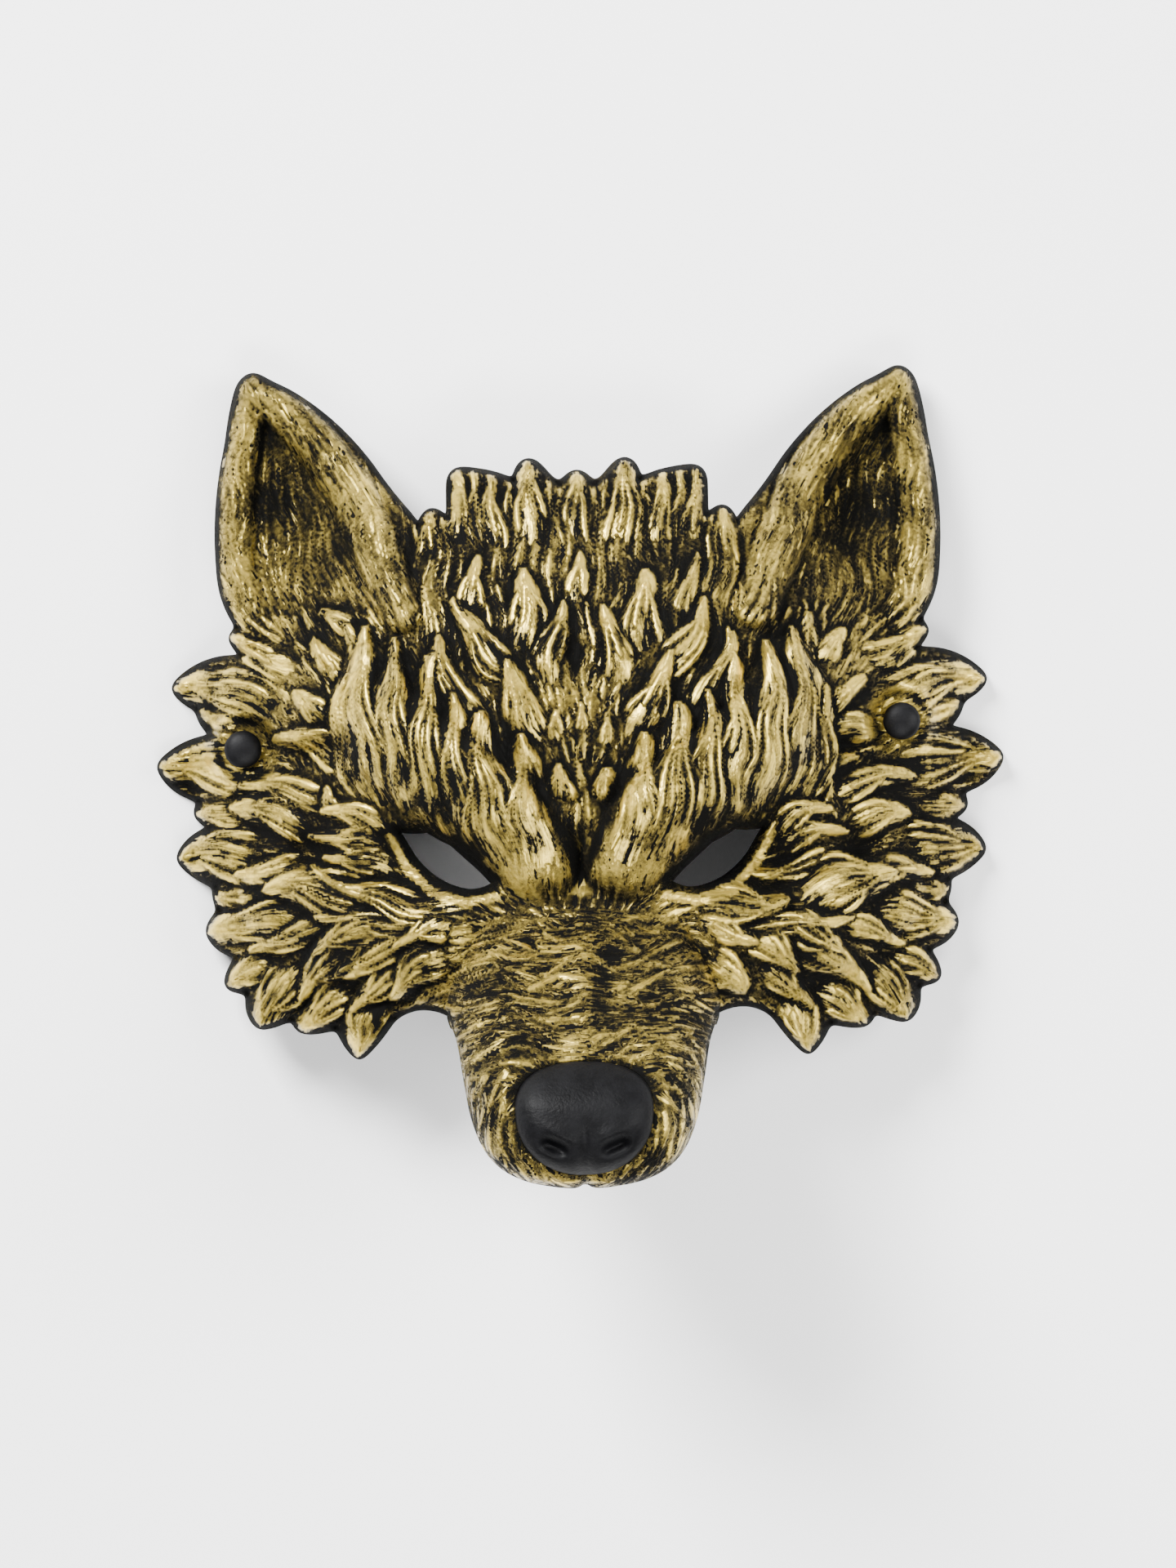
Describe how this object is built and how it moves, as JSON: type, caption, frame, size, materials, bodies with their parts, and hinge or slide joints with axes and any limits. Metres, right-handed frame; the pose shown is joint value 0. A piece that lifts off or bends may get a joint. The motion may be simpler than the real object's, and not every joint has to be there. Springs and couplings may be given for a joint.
{
  "type": "costume half mask",
  "caption": "Half-face foam wolf mask with pointed ears, fur tufts around the cheeks, slit eyes, black nose and domed rivets at the temples.",
  "frame": {"origin": "middle of the mask's box on the surface it lies on, face up", "axes": "+Z out of the face, +Y up the face towards the ears, +X to the right as seen from the front"},
  "size_m": [0.25, 0.24, 0.1201],
  "materials": {
    "painted_foam": "black soft foam dry-brushed with gold paint, satin",
    "black_skin": "smooth black foam skin, satin",
    "rivet_plastic": "black moulded plastic, satin"
  },
  "bodies": {
    "root": {"mask_shell": "painted_foam", "nose": "black_skin", "rivet_left": "rivet_plastic", "rivet_right": "rivet_plastic"}
  },
  "joints": []
}
